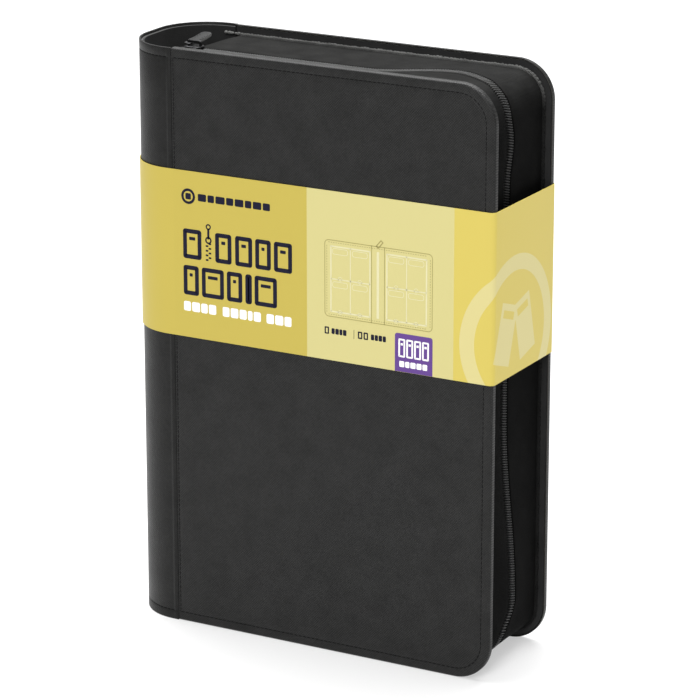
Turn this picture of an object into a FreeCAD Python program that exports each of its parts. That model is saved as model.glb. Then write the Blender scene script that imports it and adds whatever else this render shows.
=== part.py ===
import FreeCAD, Part
import os
import Sketcher

# Zip-up folio binder for graded card slabs, closed and standing on its bottom edge.
# Frame: +Z up, spine towards -X, fore-edge towards +X, front cover towards -Y.
# Origin: middle of the footprint, on the surface that the binder stands on.

doc = FreeCAD.newDocument("CardBinder")
dims = doc.addObject("Spreadsheet::Sheet", "Dims")

SIZES = [
    # covers
    ("cover_height", 340),
    ("binder_width", 236),
    ("binder_depth", 74),
    ("corner_radius", 22),
    ("edge_round", 1.5),
    ("skin_thick", 0.9),
    ("board_thick", 2.2),
    ("lining_thick", 0.9),
    # spine, a soft U from hinge line to hinge line
    ("spine_reach", 34),
    ("spine_round", 30),
    ("spine_skin_thick", 1.2),
    ("spine_core_thick", 0.8),
    ("spine_liner_thick", 1.0),
    ("spine_layer_drop", 1.5),
    ("hinge_gap", 0.4),
    # gussets between the covers
    ("gusset_inset", 5.5),
    ("gusset_thick", 1.2),
    ("gusset_start", 5),
    ("binding_width", 2.2),
    ("binding_proud", 1.0),
    # zip
    ("zip_setback", 26),
    ("zip_parting", 1.6),
    ("coil_width", 2.2),
    ("coil_height", 1.5),
    ("coil_start", 6),
    ("tape_thick", 0.6),
    ("tape_margin", 1.6),
    ("tape_lap", 3),
    ("tape_overrun", 8),
    ("stop_length", 2),
    # slider, its bail and the pull
    ("slider_length", 10),
    ("slider_width", 9),
    ("slider_wall", 1.2),
    ("slider_round", 2.5),
    ("slider_gap", 0.3),
    ("post_width", 1.2),
    ("post_length", 2),
    ("bail_length", 9),
    ("bail_width", 1.6),
    ("bail_wall", 1.2),
    ("bail_rise", 3),
    ("eye_bore", 3.2),
    ("eye_rim", 1),
    ("link_lift", 0.6),
    ("link_thick", 1),
    ("link_width", 1.6),
    ("link_reach", 6),
    ("bar_diameter", 1),
    ("bar_length", 5.6),
    ("tab_width", 7),
    ("tab_length", 15),
    ("tab_thick", 1.8),
    ("tab_round", 3),
    ("tab_slot", 2.4),
    ("pin_clearance", 0.3),
    # bound pages, each with two by two pockets
    ("page_count", 10),
    ("page_rear_gap", 1),
    ("page_end_gap", 9.3),
    ("page_fore_gap", 4),
    ("page_thick", 0.5),
    ("page_round", 8),
    ("page_pivot", 4),
    ("page_play", 0.3),
    ("strip_thick", 2),
    ("pocket_gutter", 4),
    ("pocket_margin", 4),
    ("pocket_bound_margin", 3),
    ("film_thick", 0.4),
    ("notch_radius", 11),
    # paperboard belly band
    ("band_bottom", 174),
    ("band_height", 97),
    ("band_thick", 0.5),
    ("band_gap", 0.25),
    ("band_hinge_gap", 1),
    ("band_return", 8),
    ("band_part", 0.3),
]

for row, (alias, size) in enumerate(SIZES, start=1):
    dims.set("A%d" % row, alias)
    dims.set("B%d" % row, str(size))
    dims.setAlias("B%d" % row, alias)
doc.recompute()

# Places that several pieces share, as expressions on the sheet
FORE = "Dims.binder_width / 2"
SPINE = "-Dims.binder_width / 2"
HINGE = "Dims.spine_reach - Dims.binder_width / 2"
FRONT = "-Dims.binder_depth / 2"
REAR = "Dims.binder_depth / 2"
COVER = "(Dims.skin_thick + Dims.board_thick + Dims.lining_thick)"
COVER_START = HINGE + " + Dims.hinge_gap"
ZIP_Y = FRONT + " + Dims.zip_setback"
COIL_FROM = "Dims.zip_parting / 2"
COIL_TO = "(Dims.zip_parting / 2 + Dims.coil_width)"
GUSSET_FROM = "(Dims.zip_parting / 2 + Dims.coil_width + Dims.tape_margin)"
TAPE_TO = "(Dims.zip_parting / 2 + Dims.coil_width + Dims.tape_margin + Dims.tape_lap)"
TAPE_INSET = "Dims.gusset_inset + Dims.gusset_thick"
COIL_INSET = TAPE_INSET + " - Dims.coil_height"
TAPE_TOP = "Dims.cover_height - (" + TAPE_INSET + ")"
COIL_TOP = "Dims.cover_height - (" + COIL_INSET + ")"
PLATE_FROM = COIL_TOP + " + Dims.slider_gap"
PLATE_TO = PLATE_FROM + " + Dims.slider_wall"
BASE_TO = TAPE_TOP + " - Dims.tape_thick - Dims.slider_gap"
BASE_FROM = BASE_TO + " - Dims.slider_wall"
SLIDER_X = HINGE
LEG_X = SLIDER_X + " - (Dims.bail_length - Dims.bail_wall) / 2"
LINK_Z = PLATE_TO + " + Dims.link_lift + Dims.link_thick / 2"
BAR_Y = ZIP_Y + " + Dims.link_reach"
PIVOT = HINGE + " + Dims.page_pivot"
PAGE_FLOOR = "(" + TAPE_INSET + " + Dims.page_end_gap)"
PAGE_HEIGHT = "(Dims.cover_height - 2 * " + PAGE_FLOOR + ")"
PAGE_LEFT = "(" + PIVOT + " + Dims.page_play)"
PAGE_RIGHT = "(" + FORE + " - (" + TAPE_INSET + ") - Dims.page_fore_gap)"
PAGE_PITCH = "((Dims.binder_depth - 2 * " + COVER + " - Dims.page_rear_gap) / Dims.page_count)"
POCKET_WIDTH = ("((" + PAGE_RIGHT + " - " + PAGE_LEFT + " - Dims.pocket_margin"
                " - Dims.pocket_bound_margin - Dims.pocket_gutter) / 2)")
POCKET_HEIGHT = "((" + PAGE_HEIGHT + " - 2 * Dims.pocket_margin - Dims.pocket_gutter) / 2)"
SPINE_WALL = "(Dims.spine_skin_thick + Dims.spine_core_thick + Dims.spine_liner_thick)"


def number(expression):
    """Value of an expression on the sheet, in mm."""
    return float(dims.evalExpression(expression.replace("Dims.", "")))


def plus(expression, other):
    return "(%s) + (%s)" % (expression, other)


def minus(expression, other):
    return "(%s) - (%s)" % (expression, other)


def new_body(label):
    body = doc.addObject("PartDesign::Body", label)
    body.Label = label
    return body


def new_sketch(body, plane, offset=None):
    """Sketch on one of the body's own origin planes, raised along its normal by offset."""
    sketch = body.newObject("Sketcher::SketchObject", body.Name + "_sketch")
    support = [f for f in body.Origin.OriginFeatures if f.Role == plane][0]
    sketch.AttachmentSupport = [(support, "")]
    sketch.MapMode = "FlatFace"
    if offset is not None:
        sketch.setExpression("AttachmentOffset.Base.z", offset)
    return sketch


def bind(sketch, index, expression):
    """Drive a sketch's dimension from the sheet."""
    sketch.setExpression("Constraints[%d]" % index, expression)


def outline(sketch, corners):
    """Closed outline of level and upright lines; a corner is (across, up) or (across, up, radius)."""
    points = [(number(c[0]), number(c[1])) for c in corners]
    radii = [number(c[2]) if len(c) > 2 else 0 for c in corners]
    count = len(corners)
    first = sketch.GeometryCount
    directions = []
    for i in range(count):
        a = points[i]
        b = points[(i + 1) % count]
        length = abs(b[0] - a[0]) + abs(b[1] - a[1])
        along = ((b[0] - a[0]) / length, (b[1] - a[1]) / length)
        directions.append(along)
        start = FreeCAD.Vector(a[0] + along[0] * radii[i], a[1] + along[1] * radii[i], 0)
        trim = radii[(i + 1) % count]
        end = FreeCAD.Vector(b[0] - along[0] * trim, b[1] - along[1] * trim, 0)
        sketch.addGeometry(Part.LineSegment(start, end))
    for i in range(count):
        line = first + i
        level = abs(directions[i][1]) < 0.5
        sketch.addConstraint(Sketcher.Constraint("Horizontal" if level else "Vertical", line))
        kind = "DistanceY" if level else "DistanceX"
        place = points[i][1] if level else points[i][0]
        index = sketch.addConstraint(Sketcher.Constraint(kind, -1, 1, line, 1, place))
        bind(sketch, index, corners[i][1] if level else corners[i][0])
    for i in range(count):
        before = first + (i - 1) % count
        after = first + i
        if radii[i] == 0:
            sketch.addConstraint(Sketcher.Constraint("Coincident", before, 2, after, 1))
            continue
        inward = directions[(i - 1) % count]
        outward = directions[i]
        radius = radii[i]
        corner = FreeCAD.Vector(points[i][0], points[i][1], 0)
        start = corner - FreeCAD.Vector(inward[0], inward[1], 0) * radius
        end = corner + FreeCAD.Vector(outward[0], outward[1], 0) * radius
        centre = start + FreeCAD.Vector(outward[0], outward[1], 0) * radius
        middle = centre + (corner - centre).normalize() * radius
        arc = sketch.addGeometry(Part.Arc(start, middle, end))
        turns_left = inward[0] * outward[1] - inward[1] * outward[0] > 0
        arc_in = 1 if turns_left else 2
        arc_out = 2 if turns_left else 1
        sketch.addConstraint(Sketcher.Constraint("Tangent", before, 2, arc, arc_in))
        sketch.addConstraint(Sketcher.Constraint("Tangent", arc, arc_out, after, 1))
        index = sketch.addConstraint(Sketcher.Constraint("Radius", arc, radius))
        bind(sketch, index, corners[i][2])


def disc(sketch, across, up, radius):
    """Circle in a sketch, its centre and radius driven from the sheet."""
    centre = FreeCAD.Vector(number(across), number(up), 0)
    circle = sketch.addGeometry(Part.Circle(centre, FreeCAD.Vector(0, 0, 1), number(radius)))
    for kind, expression in (("DistanceX", across), ("DistanceY", up)):
        index = sketch.addConstraint(
            Sketcher.Constraint(kind, -1, 1, circle, 3, number(expression)))
        bind(sketch, index, expression)
    index = sketch.addConstraint(Sketcher.Constraint("Radius", circle, number(radius)))
    bind(sketch, index, radius)


def pad(body, sketch, length, backwards=False, both_ways=False):
    feature = body.newObject("PartDesign::Pad", body.Name + "_pad")
    feature.Profile = sketch
    feature.setExpression("Length", length)
    feature.Reversed = backwards
    feature.Midplane = both_ways
    sketch.Visibility = False
    return feature


def shift(thing, x=None, y=None, z=None):
    """Place a piece, with each offset driven from the sheet."""
    for axis, expression in (("x", x), ("y", y), ("z", z)):
        if expression is not None:
            thing.setExpression("Placement.Base." + axis, expression)


def rounded_panel(left, right, bottom, top, radius):
    """Panel square at the hinge and rounded at the fore-edge."""
    return [(left, bottom), (right, bottom, radius), (right, top, radius), (left, top)]


def cover_outline(inset):
    """Outline of a cover, or of a layer inside it that stops short by inset."""
    return rounded_panel(
        COVER_START if inset is None else plus(COVER_START, inset),
        FORE if inset is None else minus(FORE, inset),
        "0" if inset is None else inset,
        "Dims.cover_height" if inset is None else minus("Dims.cover_height", inset),
        "Dims.corner_radius" if inset is None else minus("Dims.corner_radius", inset))


def layer(label, corners, face, thick, towards_rear=True):
    """Flat sheet upright on the XZ plane, from face towards the rear or the front."""
    body = new_body(label)
    sketch = new_sketch(body, "XZ_Plane")
    outline(sketch, corners)
    pad(body, sketch, thick, backwards=towards_rear)
    shift(body, y=face)
    return body


def cover_skin(label, face, towards_rear):
    """Leatherette turned over the board's edges: a shallow tray with softened outer edges."""
    body = layer(label, cover_outline(None), face, "Dims.skin_thick", towards_rear)
    rim = new_sketch(body, "XZ_Plane")
    outline(rim, cover_outline(None))
    outline(rim, cover_outline("Dims.skin_thick"))
    pad(body, rim, COVER, backwards=towards_rear)
    doc.recompute()
    tray = body.Tip
    soft = []
    for i, edge in enumerate(tray.Shape.Edges, start=1):
        on_face = max(abs(v.Point.y) for v in edge.Vertexes) < 0.001
        at_hinge = max(v.Point.x for v in edge.Vertexes) < number(COVER_START) + 0.001
        if on_face and not at_hinge:
            soft.append("Edge%d" % i)
    fillet = body.newObject("PartDesign::Fillet", label + "_edges")
    fillet.Base = (tray, soft)
    fillet.setExpression("Radius", "Dims.edge_round")
    return body


def make_cover(side, face, towards_rear):
    """Skin, board and lining of one cover, from its outer face inwards."""
    sign = "+" if towards_rear else "-"
    cover_skin(side + "_skin", face, towards_rear)
    board_face = "(%s) %s Dims.skin_thick" % (face, sign)
    layer(side + "_board", cover_outline("Dims.skin_thick"), board_face,
          "Dims.board_thick", towards_rear)
    lining_face = "(%s) %s (Dims.skin_thick + Dims.board_thick)" % (face, sign)
    layer(side + "_lining", cover_outline("Dims.skin_thick"), lining_face,
          "Dims.lining_thick", towards_rear)


def strip_round_edge(label, inset, thick, start, near, far):
    """Strip that runs along the top, the fore-edge and the bottom, as far in as inset."""
    deep = plus(inset, thick)
    outer_round = minus("Dims.corner_radius", inset)
    inner_round = minus("Dims.corner_radius", deep)
    top = "Dims.cover_height"
    corners = [
        (start, inset),
        (minus(FORE, inset), inset, outer_round),
        (minus(FORE, inset), minus(top, inset), outer_round),
        (start, minus(top, inset)),
        (start, minus(top, deep)),
        (minus(FORE, deep), minus(top, deep), inner_round),
        (minus(FORE, deep), deep, inner_round),
        (start, deep),
    ]
    return layer(label, corners, near, minus(far, near))


def zip_stops(label, near, far):
    """Two small stops, one past each end of a coil."""
    left = minus(HINGE, "Dims.tape_overrun")
    right = plus(left, "Dims.stop_length")
    body = new_body(label)
    sketch = new_sketch(body, "XZ_Plane")
    for low, high in ((COIL_INSET, TAPE_INSET), (TAPE_TOP, COIL_TOP)):
        outline(sketch, [(left, low), (right, low), (right, high), (left, high)])
    pad(body, sketch, minus(far, near), backwards=True)
    shift(body, y=near)


def make_gusset(side, face, sign):
    """Gusset, seam binding, zip tape, coil and stops of one side; sign points away from the zip."""
    span = {}
    for name, offset in (("coil_from", COIL_FROM), ("coil_to", COIL_TO),
                         ("gusset_from", GUSSET_FROM), ("tape_to", TAPE_TO)):
        span[name] = "(%s) %s %s" % (ZIP_Y, sign, offset)
    lining = "(%s) %s %s" % (face, "+" if sign == "-" else "-", COVER)
    seam = "(%s) %s Dims.binding_width" % (lining, "+" if sign == "-" else "-")

    def ordered(a, b):
        return (b, a) if sign == "-" else (a, b)

    start = plus(HINGE, "Dims.gusset_start")
    strip_round_edge(side + "_gusset", "Dims.gusset_inset", "Dims.gusset_thick",
                     start, *ordered(span["gusset_from"], lining))
    strip_round_edge(side + "_gusset_binding", "Dims.gusset_inset - Dims.binding_proud",
                     "Dims.binding_proud", start, *ordered(seam, lining))
    strip_round_edge(side + "_zip_tape", TAPE_INSET, "Dims.tape_thick",
                     minus(HINGE, "Dims.tape_overrun"),
                     *ordered(span["coil_from"], span["tape_to"]))
    coil = ordered(span["coil_from"], span["coil_to"])
    strip_round_edge(side + "_zip_coil", COIL_INSET, "Dims.coil_height",
                     plus(HINGE, "Dims.coil_start"), *coil)
    zip_stops(side + "_zip_stops", *coil)


def spine_layer(label, depth, wall, floor, height, end=HINGE):
    """U-shaped wall round the spine, its outside set in by depth."""
    inner = plus(depth, wall)
    half = "Dims.binder_depth / 2"
    left = plus(SPINE, depth)
    left_in = plus(SPINE, inner)
    body = new_body(label)
    sketch = new_sketch(body, "XY_Plane")
    outline(sketch, [
        (left, minus(depth, half), minus("Dims.spine_round", depth)),
        (end, minus(depth, half)),
        (end, minus(inner, half)),
        (left_in, minus(inner, half), minus("Dims.spine_round", inner)),
        (left_in, minus(half, inner), minus("Dims.spine_round", inner)),
        (end, minus(half, inner)),
        (end, minus(half, depth)),
        (left, minus(half, depth), minus("Dims.spine_round", depth)),
    ])
    pad(body, sketch, height)
    shift(body, z=floor)


def make_spine():
    """Skin, core and liner of the soft spine; the inner two stop short of its ends."""
    spine_layer("spine_skin", "0", "Dims.spine_skin_thick", "0", "Dims.cover_height")
    drop = "Dims.spine_layer_drop"
    height = "Dims.cover_height - 2 * Dims.spine_layer_drop"
    spine_layer("spine_core", "Dims.spine_skin_thick", "Dims.spine_core_thick", drop, height)
    spine_layer("spine_liner", "(Dims.spine_skin_thick + Dims.spine_core_thick)",
                "Dims.spine_liner_thick", drop, height)


def make_page_binding():
    """Strip across the inside of the spine, with one fin for each page."""
    body = new_body("page_binding")
    half = minus(REAR, SPINE_WALL)
    fin_end = minus(PIVOT, "Dims.page_play")
    strip_to = minus(HINGE, "Dims.strip_thick")
    strip_from = minus(strip_to, "Dims.strip_thick")
    strip = new_sketch(body, "XY_Plane")
    outline(strip, [(strip_from, "-(%s)" % half), (strip_to, "-(%s)" % half),
                    (strip_to, half), (strip_from, half)])
    pad(body, strip, PAGE_HEIGHT)
    first = page_place(1)
    fin = new_sketch(body, "XY_Plane")
    outline(fin, [(strip_from, minus(first, "Dims.page_thick / 2")),
                  (fin_end, minus(first, "Dims.page_thick / 2")),
                  (fin_end, plus(first, "Dims.page_thick / 2")),
                  (strip_from, plus(first, "Dims.page_thick / 2"))])
    fin_pad = pad(body, fin, PAGE_HEIGHT)
    rows = body.newObject("PartDesign::LinearPattern", "page_binding_fins")
    rows.Originals = [fin_pad]
    axis = [f for f in body.Origin.OriginFeatures if f.Role == "Y_Axis"][0]
    rows.Direction = (axis, [""])
    rows.setExpression("Length", PAGE_PITCH + " * (Dims.page_count - 1)")
    rows.setExpression("Occurrences", "Dims.page_count")
    body.Tip = rows
    shift(body, z=PAGE_FLOOR)


def page_place(number_from_front):
    """Depth of a page's middle: each page has one pitch in front of it for its slabs."""
    return "(%s) + %s + %d * %s" % (FRONT, COVER, number_from_front, PAGE_PITCH)


def pocket(sketch, left, bottom):
    """Outline of one pocket's film, with a thumb notch in its top edge."""
    right = plus(left, POCKET_WIDTH)
    top = plus(bottom, POCKET_HEIGHT)
    middle = plus(left, POCKET_WIDTH + " / 2")
    notch_left = minus(middle, "Dims.notch_radius")
    notch_right = plus(middle, "Dims.notch_radius")
    floor = minus(top, "Dims.notch_radius")
    outline(sketch, [(left, bottom), (right, bottom), (right, top), (notch_right, top),
                     (notch_right, floor, "Dims.notch_radius * 0.98"),
                     (notch_left, floor, "Dims.notch_radius * 0.98"),
                     (notch_left, top), (left, top)])


def make_page(number_from_front):
    """Page sheet and, on its front, four clear pockets."""
    label = "page_%02d" % number_from_front
    top = plus(PAGE_FLOOR, PAGE_HEIGHT)
    front = minus(page_place(number_from_front), "Dims.page_thick / 2")
    sheet = rounded_panel(PAGE_LEFT, PAGE_RIGHT, PAGE_FLOOR, top, "Dims.page_round")
    layer(label + "_sheet", sheet, front, "Dims.page_thick")
    body = new_body(label + "_pockets")
    sketch = new_sketch(body, "XZ_Plane")
    for column in range(2):
        for row in range(2):
            across = plus(PAGE_LEFT, "Dims.pocket_bound_margin + %d * (%s + "
                          "Dims.pocket_gutter)" % (column, POCKET_WIDTH))
            up = plus(PAGE_FLOOR, "Dims.pocket_margin + %d * (%s + "
                      "Dims.pocket_gutter)" % (row, POCKET_HEIGHT))
            pocket(sketch, across, up)
    pad(body, sketch, "Dims.film_thick")
    shift(body, y=front)


def make_slider():
    """Two plates joined by a post that runs between the coils, and a bail on the top plate."""
    body = new_body("zip_slider")
    half_length = "Dims.slider_length / 2"
    half_width = "Dims.slider_width / 2"
    low_x = minus(SLIDER_X, half_length)
    high_x = plus(SLIDER_X, half_length)
    low_y = minus(ZIP_Y, half_width)
    high_y = plus(ZIP_Y, half_width)
    for level in (BASE_FROM, PLATE_FROM):
        plate = new_sketch(body, "XY_Plane", level)
        outline(plate, [(x, y, "Dims.slider_round") for x, y in
                        ((low_x, low_y), (high_x, low_y), (high_x, high_y), (low_x, high_y))])
        pad(body, plate, "Dims.slider_wall")
    post = new_sketch(body, "XY_Plane", BASE_TO)
    post_to = plus(low_x, "Dims.post_length")
    near = minus(ZIP_Y, "Dims.post_width / 2")
    far = plus(ZIP_Y, "Dims.post_width / 2")
    outline(post, [(low_x, near), (post_to, near), (post_to, far), (low_x, far)])
    pad(body, post, minus(PLATE_FROM, BASE_TO))

    bail = new_body("slider_bail")
    arch = new_sketch(bail, "XZ_Plane")
    left = minus(SLIDER_X, "Dims.bail_length / 2")
    right = plus(SLIDER_X, "Dims.bail_length / 2")
    crown = plus(PLATE_TO, "Dims.bail_rise")
    outline(arch, [
        (left, PLATE_TO), (plus(left, "Dims.bail_wall"), PLATE_TO),
        (plus(left, "Dims.bail_wall"), minus(crown, "Dims.bail_wall")),
        (minus(right, "Dims.bail_wall"), minus(crown, "Dims.bail_wall")),
        (minus(right, "Dims.bail_wall"), PLATE_TO), (right, PLATE_TO),
        (right, crown, "Dims.bail_wall"), (left, crown, "Dims.bail_wall")])
    pad(bail, arch, "Dims.bail_width", both_ways=True)
    shift(bail, y=ZIP_Y)


def make_pull():
    """Link that swings round the bail's leg, and the leather tab that lifts on the link's bar."""
    link = new_body("pull_link")
    low = minus(LINK_Z, "Dims.link_thick / 2")
    eye = new_sketch(link, "XY_Plane", low)
    disc(eye, LEG_X, ZIP_Y, "Dims.eye_bore / 2 + Dims.eye_rim")
    disc(eye, LEG_X, ZIP_Y, "Dims.eye_bore / 2")
    pad(link, eye, "Dims.link_thick")
    arm = new_sketch(link, "XY_Plane", low)
    arm_from = plus(ZIP_Y, "Dims.eye_bore / 2 + Dims.eye_rim / 2")
    outline(arm, [(minus(LEG_X, "Dims.link_width / 2"), arm_from),
                  (plus(LEG_X, "Dims.link_width / 2"), arm_from),
                  (plus(LEG_X, "Dims.link_width / 2"), BAR_Y),
                  (minus(LEG_X, "Dims.link_width / 2"), BAR_Y)])
    pad(link, arm, "Dims.link_thick")
    bar = new_sketch(link, "YZ_Plane", LEG_X)
    disc(bar, BAR_Y, LINK_Z, "Dims.bar_diameter / 2")
    pad(link, bar, "Dims.bar_length", both_ways=True)

    tab = new_body("pull_tab")
    half = "Dims.tab_width / 2"
    slot = "Dims.tab_slot / 2"
    near = minus(BAR_Y, "Dims.tab_thick / 2")
    slot_end = plus(BAR_Y, "Dims.tab_thick / 2")
    far = plus(BAR_Y, "Dims.tab_length")
    strap = new_sketch(tab, "XY_Plane", minus(LINK_Z, "Dims.tab_thick / 2"))
    outline(strap, [
        (minus(LEG_X, half), near), (minus(LEG_X, slot), near),
        (minus(LEG_X, slot), slot_end), (plus(LEG_X, slot), slot_end),
        (plus(LEG_X, slot), near), (plus(LEG_X, half), near),
        (plus(LEG_X, half), far, "Dims.tab_round"),
        (minus(LEG_X, half), far, "Dims.tab_round")])
    pad(tab, strap, "Dims.tab_thick")
    doc.recompute()
    before = tab.Shape.Volume
    bore = new_sketch(tab, "YZ_Plane", LEG_X)
    disc(bore, BAR_Y, LINK_Z, "(Dims.bar_diameter + Dims.pin_clearance) / 2")
    cut = tab.newObject("PartDesign::Pocket", "pull_tab_bore")
    cut.Profile = bore
    cut.Midplane = True
    cut.setExpression("Length", "2 * Dims.tab_width")
    bore.Visibility = False
    doc.recompute()
    if tab.Shape.Volume >= before:
        raise RuntimeError("the bore of the pull tab cut nothing")


def make_band():
    """Paperboard band round the binder, parted at the hinges and at the front fore-edge corner."""
    low = "Dims.band_bottom"
    height = "Dims.band_height"
    outside = "(Dims.band_gap + Dims.band_thick)"
    spine_layer("band_spine_panel", "(0 - %s)" % outside, "Dims.band_thick", low, height,
                minus(HINGE, "Dims.band_hinge_gap"))
    start = plus(HINGE, "Dims.band_hinge_gap")
    fore_out = plus(FORE, outside)
    fore_in = plus(FORE, "Dims.band_gap")
    round_in = "(Dims.edge_round + Dims.band_gap)"
    round_out = plus(round_in, "Dims.band_thick")
    front_end = plus(FRONT, "Dims.band_return")
    rear_end = plus(front_end, "Dims.band_part")
    for label, face, end, out in (("band_front_panel", FRONT, front_end, minus),
                                  ("band_rear_panel", REAR, rear_end, plus)):
        body = new_body(label)
        sketch = new_sketch(body, "XY_Plane")
        face_out = out(face, outside)
        face_in = out(face, "Dims.band_gap")
        outline(sketch, [
            (start, face_out), (fore_out, face_out, round_out),
            (fore_out, end), (fore_in, end),
            (fore_in, face_in, round_in), (start, face_in)])
        pad(body, sketch, height)
        shift(body, z=low)


make_cover("front", FRONT, True)
make_cover("rear", REAR, False)
make_gusset("front", FRONT, "-")
make_gusset("rear", REAR, "+")
make_spine()
make_page_binding()
for page in range(1, int(number("Dims.page_count")) + 1):
    make_page(page)
make_slider()
make_pull()
make_band()
doc.recompute()

failed = [o.Name for o in doc.Objects if "Invalid" in o.State or "Error" in o.State]
bodies = [o for o in doc.Objects if o.isDerivedFrom("PartDesign::Body")]
for body in bodies:
    if body.Shape.isNull() or not body.Shape.isValid() or not body.Shape.Solids:
        failed.append(body.Label)
if failed:
    raise RuntimeError("pieces that failed: " + ", ".join(failed))

os.makedirs("parts", exist_ok=True)
for body in bodies:
    body.Shape.exportStep("parts/%s.step" % body.Label)
    box = body.Shape.BoundBox
    print("%-20s %d solid(s) %9.0f mm3  x %.1f %.1f  y %.1f %.1f  z %.1f %.1f" % (
        body.Label, len(body.Shape.Solids), body.Shape.Volume,
        box.XMin, box.XMax, box.YMin, box.YMax, box.ZMin, box.ZMax))
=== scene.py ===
import math
import random

import bpy
from mathutils import Matrix, Vector


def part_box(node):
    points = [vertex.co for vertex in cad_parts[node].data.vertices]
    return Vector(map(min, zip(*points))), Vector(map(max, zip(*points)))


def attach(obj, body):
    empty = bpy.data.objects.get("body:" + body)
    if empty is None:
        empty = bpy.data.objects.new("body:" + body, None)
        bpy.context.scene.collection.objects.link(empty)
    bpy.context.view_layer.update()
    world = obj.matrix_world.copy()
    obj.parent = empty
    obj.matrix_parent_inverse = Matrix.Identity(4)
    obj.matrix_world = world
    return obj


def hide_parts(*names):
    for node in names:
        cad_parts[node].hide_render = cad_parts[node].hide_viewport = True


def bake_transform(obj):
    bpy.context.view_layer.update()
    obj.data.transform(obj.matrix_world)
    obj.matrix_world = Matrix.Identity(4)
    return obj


# Zip-up folio binder for card slabs, closed and standing, in metres.
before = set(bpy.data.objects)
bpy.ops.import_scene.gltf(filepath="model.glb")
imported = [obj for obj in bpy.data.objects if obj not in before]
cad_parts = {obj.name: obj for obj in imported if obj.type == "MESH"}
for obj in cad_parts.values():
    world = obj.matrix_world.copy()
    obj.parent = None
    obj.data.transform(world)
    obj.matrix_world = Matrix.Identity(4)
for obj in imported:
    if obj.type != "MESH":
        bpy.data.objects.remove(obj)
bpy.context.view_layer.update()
mm = 0.001
near = 0.02 * mm

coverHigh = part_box("front_skin")[1]
spineLow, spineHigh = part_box("spine_skin")

cover = {
    "foreEdge": coverHigh.x,
    "height": coverHigh.z,
    "corner": 22 * mm,        # rounded fore-edge corners, seen from the front
    "cornerSteps": 16,
    "rimRound": 1.6 * mm,     # soft outer edge of the padded panel
    "rimSteps": 6,
    "turnIn": 0.9 * mm,       # leather round the board's edge
    "rimToSeam": 3.2 * mm,
    "hingeToSeam": 0.3 * mm,
    "seamHalf": 0.65 * mm,    # half the width of the sewn channel
    "seamDeep": 0.35 * mm,
    "puffWidth": 2.2 * mm,
    "puffRise": 0.12 * mm,
    "panelAcross": 8 * mm,    # the panel's middle is at least this far from the fore-edge
    "panelUp": 20 * mm,       # and no further than this from half way up
}
cover["seamInset"] = cover["rimRound"] + cover["rimToSeam"] + cover["seamHalf"]


# Modelling steps that every piece shares.

def clearSelection():
    if bpy.context.object and bpy.context.object.mode != "OBJECT":
        bpy.ops.object.mode_set(mode="OBJECT")
    bpy.ops.object.select_all(action="DESELECT")


def focusOn(piece):
    clearSelection()
    piece.select_set(True)
    bpy.context.view_layer.objects.active = piece


def settle(name):  # names the new primitive and puts its place into its mesh
    piece = bpy.context.object
    piece.name = name
    piece.data.name = name
    bpy.ops.object.transform_apply(location=True, rotation=True, scale=True)
    return piece


def addBlock(name, low, high):
    clearSelection()
    low, high = Vector(low), Vector(high)
    bpy.ops.mesh.primitive_cube_add(size=1, location=(low + high) / 2)
    bpy.context.object.scale = high - low
    return settle(name)


def selectParts(piece, kind, test):  # stays in edit mode with the chosen parts selected
    focusOn(piece)
    bpy.ops.object.mode_set(mode="EDIT")
    bpy.ops.mesh.select_mode(type=kind)
    bpy.ops.mesh.select_all(action="DESELECT")
    bpy.ops.object.mode_set(mode="OBJECT")
    mesh = piece.data
    if kind == "VERT":
        for vertex in mesh.vertices:
            vertex.select = test(vertex.co)
    elif kind == "EDGE":
        for edge in mesh.edges:
            ends = [mesh.vertices[i].co for i in edge.vertices]
            edge.select = test(ends[0], ends[1])
    else:
        for face in mesh.polygons:
            face.select = test(face.center, face.normal)
    bpy.ops.object.mode_set(mode="EDIT")


def leaveEdit():
    bpy.ops.object.mode_set(mode="OBJECT")


def bevelPicked(width, steps):
    bpy.ops.mesh.bevel(offset=width, offset_type="OFFSET", segments=steps, profile=0.5,
                       affect="EDGES")


def bevelAll(piece, width, steps, sharpest=30):
    applyModifier(piece, "BEVEL", width=width, segments=steps, limit_method="ANGLE",
                  angle_limit=math.radians(sharpest))


def cutLevel(piece, point, normal):  # a cut right through, which leaves both sides
    focusOn(piece)
    bpy.ops.object.mode_set(mode="EDIT")
    bpy.ops.mesh.select_all(action="SELECT")
    bpy.ops.mesh.bisect(plane_co=point, plane_no=normal)
    leaveEdit()


def applyModifier(piece, kind, **settings):
    focusOn(piece)
    bpy.ops.object.modifier_add(type=kind)
    modifier = piece.modifiers[-1]
    for setting, value in settings.items():
        setattr(modifier, setting, value)
    bpy.ops.object.modifier_apply(modifier=modifier.name)


def joinPieces(pieces, name):
    clearSelection()
    for piece in pieces:
        piece.select_set(True)
    bpy.context.view_layer.objects.active = pieces[0]
    if len(pieces) > 1:
        bpy.ops.object.join()
    joined = bpy.context.object
    joined.name = name
    joined.data.name = name
    return joined


def copyTo(unit, name, spots):  # one copy of the unit's mesh at each spot, joined
    copies = []
    for spot in spots:
        copied = unit.copy()
        copied.data = unit.data.copy()
        copied.data.transform(spot)
        bpy.context.collection.objects.link(copied)
        copies.append(copied)
    bpy.data.objects.remove(unit)
    return joinPieces(copies, name)


def smoothShade(piece, angle=35):
    focusOn(piece)
    bpy.ops.object.shade_smooth_by_angle(angle=math.radians(angle))


def dress(piece, finish, body, slot, *nodes):  # finish, body and the nodes it stands for
    piece.data.materials.clear()
    piece.data.materials.append(finish)
    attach(piece, body)
    if nodes:
        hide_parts(*nodes)
    return piece


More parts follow.
